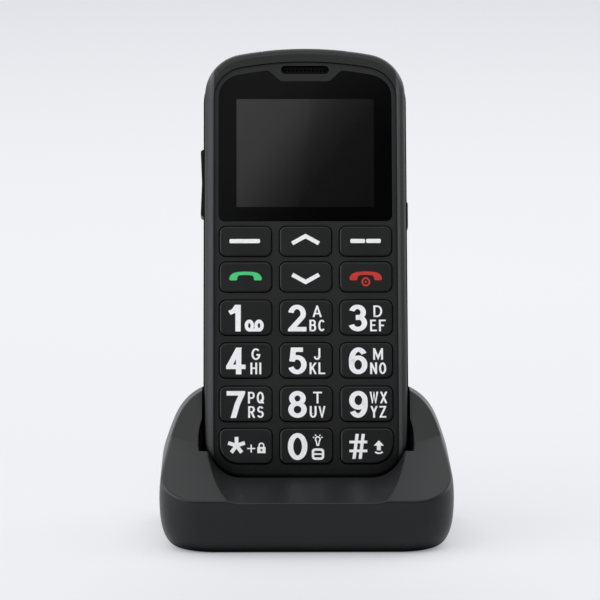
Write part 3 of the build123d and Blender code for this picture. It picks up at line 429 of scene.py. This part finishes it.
def clip(shape, axis, limit, sign):
    """Part of a convex shape on one side of a level or upright line."""
    kept = []
    for index, point in enumerate(shape):
        last = shape[index - 1]
        now_in, last_in = sign * (point[axis] - limit) <= 0, sign * (last[axis] - limit) <= 0
        if now_in != last_in:
            share = (limit - last[axis]) / (point[axis] - last[axis])
            kept.append(last + (point - last) * share)
        if now_in:
            kept.append(point)
    return kept


STEEP, LEVEL = 0.3, 0.9  # slopes past which a stroke's end is carried on to the box's edge and cut there


def glyph(sign, x, y, width, height, stroke):
    """Flat shapes of one glyph whose outer box is centred on a point."""
    inner = Vector((width - stroke, height - stroke * FLAT))
    corner = Vector((x - inner.x / 2, y - inner.y / 2))
    shapes = []
    for line in glyphs[sign]:
        points = [Vector((corner.x + u * inner.x, corner.y + v * inner.y)) for u, v in line]
        closed = (points[0] - points[-1]).length < stroke / 9
        ends = () if closed else ((0, 1), (-1, -2))
        for end, nearby in ends:
            way = (points[end] - points[nearby]).normalized()
            u, v = line[end]
            if abs(way.y) > STEEP and (v <= 0 or v >= 1):
                points[end] = points[end] + way * stroke
            elif abs(way.x) > LEVEL and u in (0, 1):
                points[end] = points[end] + way * stroke / 2
        shapes += ribbon(points, stroke / 2, FLAT)
    low, high = (x - width / 2, y - height / 2), (x + width / 2, y + height / 2)
    for axis in (0, 1):
        shapes = [clip(clip(list(s), axis, high[axis], 1), axis, low[axis], -1) for s in shapes]
    return [s for s in shapes if len(s) > 2]


def word(text, x, y, height, share):
    """A few letters on one line, centred on a point; share is a letter's width for its height."""
    widths = [height * share * LETTER_WIDTH.get(sign, 1) for sign in text]
    gap = height * LETTER_GAP
    start = x - (sum(widths) + gap * (len(text) - 1)) / 2
    shapes = []
    for sign, wide in zip(text, widths):
        shapes += glyph(sign, start + wide / 2, y, wide, height, height * LETTER_STROKE)
        start += wide + gap
    return shapes


def disc(x, y, radius, steps=28):
    """Filled circle."""
    turns = [radians(360 * i / steps) for i in range(steps)]
    return [[Vector((x + radius * cos(t), y + radius * sin(t))) for t in turns]]


def line(points, stroke):
    """Stroke through points."""
    return ribbon(points, stroke / 2)


def bar(x, y, width, height):
    """Rectangle centred on a point."""
    return line([(x - width / 2, y), (x + width / 2, y)], height)


# Overlapping plates lie at a few heights, a small part of the ink's thickness apart
LAYERS, LAYER_PART = 7, 40


def lay(name, shapes, ink, key, lift=0):
    """Prints flat shapes on a key's top as thin ink plates that ride with the key."""
    low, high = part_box(key)
    middle = phone_place.inverted() @ ((Vector(low) + Vector(high)) / 2)
    verts, faces = [], []
    for level, shape in enumerate(shapes):
        top = -KEY_TOP - INK - lift - (level % LAYERS) * INK / LAYER_PART
        base = len(verts)
        count = len(shape)
        for depth in (top, -KEY_TOP + INK / 5):
            verts += [phone_place @ Vector((middle.x + p[0], depth, middle.z + p[1])) for p in shape]
        faces.append(tuple(range(base, base + count)))
        faces.append(tuple(range(base + 2 * count - 1, base + count - 1, -1)))
        for i in range(count):
            j = (i + 1) % count
            faces.append((base + j, base + i, base + count + i, base + count + j))
    mesh = bpy.data.meshes.new(name)
    mesh.from_pydata(verts, [], faces)
    mesh.validate()
    mesh.materials.append(ink)
    piece = bpy.data.objects.new(name, mesh)
    scene.collection.objects.link(piece)
    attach(piece, key)
    return piece


DIGIT_HEIGHT, DIGIT_USUAL_WIDTH = 7.03 * mm, 4.75 * mm
DIGIT_WIDTH = {"1": 3.25 * mm, "4": 5.0 * mm, "0": 5.0 * mm}
DIGIT_X = (-2.1 * mm, -2.52 * mm, -2.22 * mm)  # on the right, left and middle column of keys
LETTERS_X = (3.03 * mm, 2.63 * mm, 2.92 * mm)
LETTERS_HIGH, LETTERS_LOW = 1.78 * mm, -1.97 * mm
LETTER_HEIGHT = 3.06 * mm
ALONE, PAIRED = 0.74, 0.57  # a letter's width for its height
LOCK_X = 4.02 * mm


def number_key(digit, high="", low="", x=None):
    """A large digit with two short lines of letters."""
    column = int(digit) % 3 if digit != "0" else 2
    place = DIGIT_X[column] if x is None else x
    width = DIGIT_WIDTH.get(digit, DIGIT_USUAL_WIDTH)
    shapes = glyph(digit, place, 0, width, DIGIT_HEIGHT, DIGIT_HEIGHT * DIGIT_STROKE)
    for text, line_y in ((high, LETTERS_HIGH), (low, LETTERS_LOW)):
        if text:
            share = ALONE if len(text) == 1 else PAIRED
            shapes += word(text, LETTERS_X[column], line_y, LETTER_HEIGHT, share)
    return shapes


keypad_letters = {
    "2": ("A", "BC"), "3": ("D", "EF"), "4": ("G", "HI"), "5": ("J", "KL"), "6": ("M", "NO"),
    "7": ("PQ", "RS"), "8": ("T", "UV"), "9": ("WX", "YZ"),
}
for digit, (high, low) in keypad_letters.items():
    lay("legend_" + digit, number_key(digit, high, low), ink_white, "key_" + digit)


def voicemail_key():
    """1 with the voicemail sign: two loops on a bar."""
    middle, loop_y, bar_y = 2.2 * mm, -1.97 * mm, -3.1 * mm
    spread, loop_half, loop_rise, loop_stroke = 1.24 * mm, 0.76 * mm, 1.14 * mm, 0.88 * mm
    shapes = number_key("1", x=-2.87 * mm)
    for side in (-1, 1):
        shapes += line(arc(middle + side * spread, loop_y, loop_half, loop_rise, 0, 360), loop_stroke)
    return shapes + bar(middle, bar_y, 2.3 * mm, 0.86 * mm)


def star_key():
    """Five-armed asterisk, plus and padlock."""
    x, y, arm, arm_stroke = -2.35 * mm, 0.28 * mm, 2.25 * mm, 0.98 * mm
    plus_x, plus_y, plus, plus_stroke = 1.4 * mm, -0.5 * mm, 2.05 * mm, 0.38 * mm
    lock_y, lock_width, lock_height = -0.9 * mm, 2.1 * mm, 1.62 * mm
    bow_y, bow_half, bow_rise, bow_stroke, bow_end = 0.27 * mm, 0.58 * mm, 0.6 * mm, 0.36 * mm, -0.15 * mm
    shapes = []
    for step in range(5):
        turn = radians(90 + 72 * step)
        shapes += line([(x, y), (x + arm * cos(turn), y + arm * sin(turn))], arm_stroke)
    shapes += glyph("+", plus_x, plus_y, plus, plus, plus_stroke)
    shapes += bar(LOCK_X, lock_y, lock_width, lock_height)
    bow = arc(LOCK_X, bow_y, bow_half, bow_rise, 180, 0)
    shapes += line([(LOCK_X - bow_half, bow_end)] + bow + [(LOCK_X + bow_half, bow_end)], bow_stroke)
    return shapes


def torch_key():
    """0 with a torch bulb and its rays over a small rounded box."""
    bulb_x, bulb_y, bulb_stroke = 2.95 * mm, 1.9 * mm, 0.36 * mm
    ray_stroke, ray_start, ray_end = 0.28 * mm, 0.98 * mm, 1.38 * mm
    box_x, box_y, box_stroke, corner_radius = 2.98 * mm, -1.98 * mm, 0.64 * mm, 0.58 * mm
    shapes = number_key("0")
    shapes += line(arc(bulb_x, bulb_y, 0.58 * mm, 0.62 * mm, -50, 230), bulb_stroke)
    for side in (-1, 1):
        high = (bulb_x + side * 0.42 * mm, bulb_y - 0.36 * mm)
        low = (bulb_x + side * 0.24 * mm, bulb_y - 1.3 * mm)
        shapes += line([high, low], 0.32 * mm)
    shapes += bar(bulb_x, bulb_y - 1.5 * mm, 0.76 * mm, 0.46 * mm)
    for angle in (25, 62, 118, 155):
        x, y = cos(radians(angle)), sin(radians(angle))
        ray = [(bulb_x + x * reach, bulb_y + y * reach) for reach in (ray_start, ray_end)]
        shapes += line(ray, ray_stroke)
    for start, x, y in ((0, 1, 1), (90, -1, 1), (180, -1, -1), (270, 1, -1)):
        middle = (box_x + x * 0.7 * mm, box_y + y * 0.6 * mm)
        shapes += line(arc(*middle, corner_radius, corner_radius, start, start + 90, 8), box_stroke)
    for side in (-1, 1):
        shapes += bar(box_x, box_y + side * 1.18 * mm, 1.42 * mm, box_stroke)
        shapes += bar(box_x + side * 1.28 * mm, box_y, box_stroke, 1.22 * mm)
    return shapes + bar(box_x, box_y, 1.95 * mm, 0.44 * mm)


def hash_key():
    """Hash sign, and the shift arrow over a bowed bar."""
    arrow_x, arrow_y = 3.06 * mm, -0.15 * mm
    head_half, head_low, tip = 1.3 * mm, 0.35 * mm, 1.75 * mm
    head = ((-head_half, head_low), (head_half, head_low), (0, tip))
    shapes = glyph("#", -2.18 * mm, 0, 4.56 * mm, 6.5 * mm, 0.84 * mm)
    shapes.append([Vector((arrow_x + x, arrow_y + y)) for x, y in head])
    shapes += bar(arrow_x, arrow_y - 0.25 * mm, 1.0 * mm, 1.25 * mm)
    return shapes + line(arc(arrow_x, arrow_y - 1.0 * mm, 1.0 * mm, 0.62 * mm, 200, 340), 0.44 * mm)


keyhole = line([(LOCK_X, -0.65 * mm), (LOCK_X, -1.2 * mm)], 0.42 * mm)
lay("legend_1", voicemail_key(), ink_white, "key_1")
lay("legend_star", star_key(), ink_white, "key_star")
lay("legend_star_keyhole", keyhole, ink_black, "key_star", INK / 2)
lay("legend_0", torch_key(), ink_white, "key_0")
lay("legend_hash", hash_key(), ink_white, "key_hash")

# Soft keys, arrows, call and end
DASH, DASH_THICK, DASH_Y, DASH_GAP = 7.9 * mm, 1.1 * mm, 0.18 * mm, 0.13 * mm
DASH_SHIFT = 0.2 * mm  # the left soft key's dash, outwards
CHEVRON_STROKE = 1.08 * mm
RECEIVER_RISE = 0.42  # in millimetres, as the receiver's points
RING_Y = -1.18 * mm


def dash_line(left, right):
    """Level dash with slightly rounded corners."""
    corner = DASH_THICK * 0.3
    shapes = bar((left + right) / 2, DASH_Y, right - left - 2 * corner, DASH_THICK)
    shapes += bar((left + right) / 2, DASH_Y, right - left, DASH_THICK - 2 * corner)
    for x in (left + corner, right - corner):
        for y in (DASH_Y - DASH_THICK / 2 + corner, DASH_Y + DASH_THICK / 2 - corner):
            shapes += disc(x, y, corner, 16)
    return shapes


def handset():
    """Telephone receiver seen from the side: a thin bowed bar with two blunt ends, drawn in millimetres."""
    outer = [
        (0, 1.14), (1.2, 1.1), (2.3, 0.98), (3.0, 0.8), (3.6, 0.44), (4.0, -0.08),
        (4.18, -0.6), (4.14, -0.98), (3.9, -1.18),
    ]
    inner = [
        (0, 0.24), (0.8, 0.22), (1.5, 0.14), (1.85, 0), (2.04, -0.24), (2.12, -0.54),
        (2.13, -0.8), (2.18, -1.02), (2.4, -1.18),
    ]
    shapes = []
    for side in (1, -1):
        rims = [[Vector((side * x * mm, (y + RECEIVER_RISE) * mm)) for x, y in rim] for rim in (outer, inner)]
        for i in range(len(outer) - 1):
            shapes.append([rims[1][i], rims[1][i + 1], rims[0][i + 1], rims[0][i]][::side])
    return shapes


lay("legend_soft_left", dash_line(-DASH / 2 - DASH_SHIFT, DASH / 2 - DASH_SHIFT), ink_white, "key_soft_left")
halves = dash_line(-DASH / 2, -DASH_GAP) + dash_line(DASH_GAP, DASH / 2)
lay("legend_soft_right", halves, ink_white, "key_soft_right")
chevron = [(-3.45 * mm, -0.95 * mm), (0, 1.0 * mm), (3.45 * mm, -0.95 * mm)]
lay("legend_up", line([(x, y + 0.5 * mm) for x, y in chevron], CHEVRON_STROKE), ink_white, "key_up")
lay("legend_down", line([(x, -y - 0.22 * mm) for x, y in chevron], CHEVRON_STROKE), ink_white, "key_down")
lay("legend_call", handset(), ink_green, "key_call")
ring = line(arc(0, RING_Y, 0.92 * mm, 0.98 * mm, 0, 360), 0.42 * mm)
lay("legend_end", handset() + ring + disc(0, RING_Y, 0.27 * mm), ink_red, "key_end")


# Floor, world and lights

PALE = (0.84, 0.848, 0.875)
# Middles of the floor's painted pool of light and of its painted shadow in front of the object
PAINTED_LIGHT_MIDDLE, PAINTED_SHADOW_MIDDLE = (0.03, 0.42, 0), (0, -0.085, 0)
CONTACT_SHADOW_REACH = 70 * mm
MIDDLE = Vector((0, 0, 0.06))  # of the object
NEAR, FAR = 0.04, 0.2  # between these distances the lit floor gives way to the glowing one with painted light and shadow
PAINTED_FLOOR_SHARE = 0.72  # of the glowing floor with painted light and shadow, close to the object
WORLD_LIGHT, WORLD_SHOWN = 0.06, 0.95


def seen_directly(add, mirrored=1):
    """1 for camera, glossy and transmission rays, 0 for the rays that carry light to the object.

    Glossy rays count as far as mirrored says, so that what is in front of the object can mirror dark.
    """
    path = add("ShaderNodeLightPath")
    glossy = calc(add, "MULTIPLY", path.outputs["Is Glossy Ray"], mirrored)
    seen = calc(add, "MAXIMUM", path.outputs["Is Camera Ray"], glossy)
    return calc(add, "MAXIMUM", seen, path.outputs["Is Transmission Ray"])


def floor_look():
    """Matte pale floor near the object, which keeps its shadow, fading into a glowing pale backdrop with a
    painted pool of light and painted shadows.
    """
    material, shader, tree, add = new_material("floor_pale")
    feed(tree, shader, [("Base Color", (*PALE, 1)), ("Roughness", 0.8), ("Specular IOR Level", 0.05)])
    place = add("ShaderNodeTexCoord").outputs["Object"]

    def distance(middle):
        return add("ShaderNodeVectorMath", [(0, place), (1, middle)], operation="DISTANCE").outputs["Value"]

    # Painted pool of light, brightest behind the object and darker far away
    painted_light_pool = ramp(add, distance(PAINTED_LIGHT_MIDDLE), [
        (0.0, (0.895, 0.903, 0.93)), (0.25, (0.88, 0.888, 0.92)), (0.55, (0.84, 0.848, 0.88)),
        (1.0, (0.76, 0.77, 0.81)),
    ])
    # Painted contact shadow, which falls forwards, away from the back light
    tilt = add("ShaderNodeCombineXYZ", [("Y", 0.75), ("Z", 0.66)])
    contact = add("ShaderNodeAmbientOcclusion", [("Normal", tilt.outputs[0]), ("Distance", CONTACT_SHADOW_REACH)],
                  samples=16)
    painted_shade = ramp(add, contact.outputs["AO"], [(0.0, 0.2), (0.3, 0.55), (0.55, 0.84), (0.8, 1.0)])
    # Painted shadow patch on the floor in front of the object
    before = ramp(add, distance(PAINTED_SHADOW_MIDDLE), [(0.0, 0.9), (0.03, 0.93), (0.065, 1.0)])
    light_pool_and_shadows = multiplied(add, painted_light_pool, multiplied(add, painted_shade, before))
    painted_floor = add("ShaderNodeEmission", [("Color", light_pool_and_shadows)])
    near = add("ShaderNodeMapRange", [
        ("Value", distance((0, 0, 0))), ("From Min", NEAR), ("From Max", FAR), ("To Min", PAINTED_FLOOR_SHARE),
    ], interpolation_type="SMOOTHSTEP")
    share = calc(add, "MULTIPLY", near.outputs[0], seen_directly(add))
    mixed = add("ShaderNodeMixShader", [(0, share), (1, shader.outputs[0]), (2, painted_floor.outputs[0])])
    feed(tree, tree.nodes["Material Output"], [("Surface", mixed.outputs[0])])
    return material


def plate(name, corners, material):
    """Four-cornered sheet that belongs to the studio, not to the object."""
    mesh = bpy.data.meshes.new(name)
    mesh.from_pydata(corners, [], [(0, 1, 2, 3)])
    mesh.materials.append(material)
    piece = bpy.data.objects.new(name, mesh)
    scene.collection.objects.link(piece)


plate("floor", [(-6, -6, 0), (6, -6, 0), (6, 10, 0), (-6, 10, 0)], floor_look())


def studio_world():
    """World that shows an even pale studio, and lights the object with a weak, cool light."""
    world = bpy.data.worlds.new("studio")
    world.use_nodes = True
    world.node_tree.nodes.clear()
    add = adder(world.node_tree)
    lit = add("ShaderNodeBackground", [("Color", (0.92, 0.95, 1.0, 1)), ("Strength", WORLD_LIGHT)])
    shown = add("ShaderNodeBackground", [("Color", (*PALE, 1)), ("Strength", WORLD_SHOWN)])
    # The studio mirrors pale from behind the object and from its sides, and dark from in front of it
    direction = add("ShaderNodeTexCoord").outputs["Generated"]
    backwards = add("ShaderNodeSeparateXYZ", [(0, direction)]).outputs["Y"]
    behind = add("ShaderNodeMapRange", [("Value", backwards), ("From Min", -0.45), ("From Max", 0.1)],
                 interpolation_type="SMOOTHSTEP")
    seen = seen_directly(add, behind.outputs[0])
    mix = add("ShaderNodeMixShader", [(0, seen), (1, lit.outputs[0]), (2, shown.outputs[0])])
    add("ShaderNodeOutputWorld", [("Surface", mix.outputs[0])])
    return world


scene.world = studio_world()


def softbox(name, place, width, height, power):
    """Rectangular studio light that looks at the object's middle."""
    data = bpy.data.lights.new(name, "AREA")
    data.shape = "RECTANGLE"
    data.size, data.size_y = width, height
    data.energy = power
    lamp = bpy.data.objects.new(name, data)
    lamp.location = place
    lamp.rotation_euler = (MIDDLE - Vector(place)).to_track_quat("-Z", "Y").to_euler()
    scene.collection.objects.link(lamp)


softbox("top_light", (0, 0.1, 1.0), 1.2, 0.9, 1.8)
softbox("back_light", (0, 0.8, 0.75), 1.7, 0.6, 3.6)
softbox("front_light", (0, -0.5, 0.9), 1.0, 0.6, 3.4)
softbox("key_light", (-1.0, 0.05, 0.48), 1.0, 0.8, 7.0)
softbox("fill_light", (-0.8, -0.6, 0.5), 0.7, 0.8, 5.0)
softbox("side_light", (1.0, 0.05, 0.48), 1.0, 0.8, 3.0)
softbox("rim_light", (0.8, 0.5, 0.4), 0.7, 0.6, 2.4)
